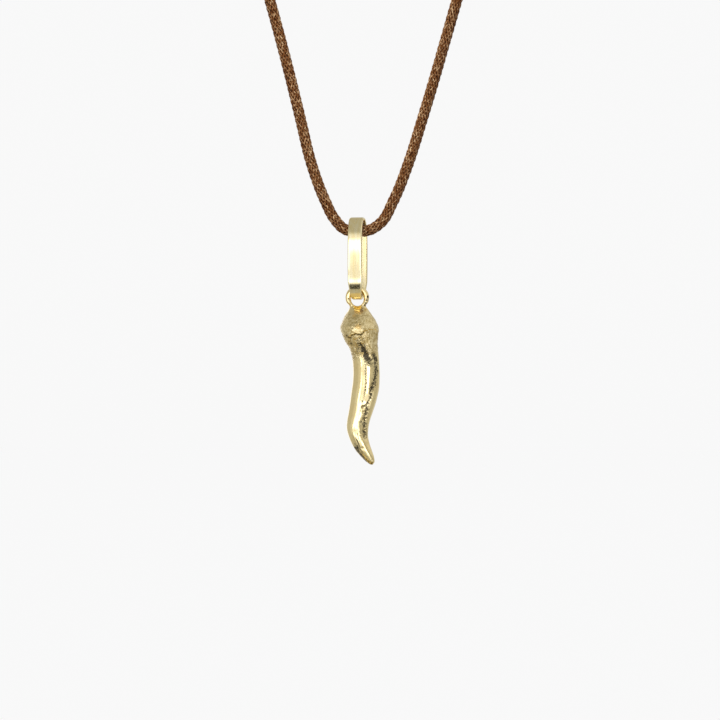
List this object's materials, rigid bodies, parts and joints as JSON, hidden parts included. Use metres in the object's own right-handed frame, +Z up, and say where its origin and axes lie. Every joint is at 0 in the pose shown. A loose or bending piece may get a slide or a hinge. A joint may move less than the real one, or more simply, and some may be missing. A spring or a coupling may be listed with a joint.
{
  "type": "cornicello horn pendant on a neck cord",
  "caption": "Cast gold horn charm with a ring on its domed head, hanging in a long flat strip bail on a brown braided cord necklace closed by a plain barrel clasp.",
  "frame": {"origin": "under the middle of the clasp, where the necklace lies on the nape", "axes": "+Z up along the hanging pendant, +Y to the back, +X across the necklace"},
  "size_m": [0.0861, 0.0062, 0.2056],
  "materials": {
    "braided_cord": "round braid of waxed cotton, dark brown with tan flecks",
    "clasp_metal": "satin, gold plated, turned",
    "polished_gold": "polished pale yellow gold strip with fine drawn lines",
    "cast_gold": "cast pale yellow gold, polished on the horn and matt and pitted on the head"
  },
  "bodies": {
    "necklace": {"neck_cord": "braided_cord", "clasp": "clasp_metal"},
    "bail": {"bail": "polished_gold"},
    "horn": {"horn": "cast_gold"}
  },
  "joints": [
    {"name": "bail_swing", "type": "hinge", "parent": "necklace", "child": "bail", "pos_m": [-0.0015, 0, -0.1609], "axis": [1, 0, 0], "range_deg": [-90, 90]},
    {"name": "horn_swing", "type": "hinge", "parent": "bail", "child": "horn", "pos_m": [-0.0015, 0, -0.1714], "axis": [0.9724, -0.2334, 0], "range_deg": [-55, 55]}
  ]
}
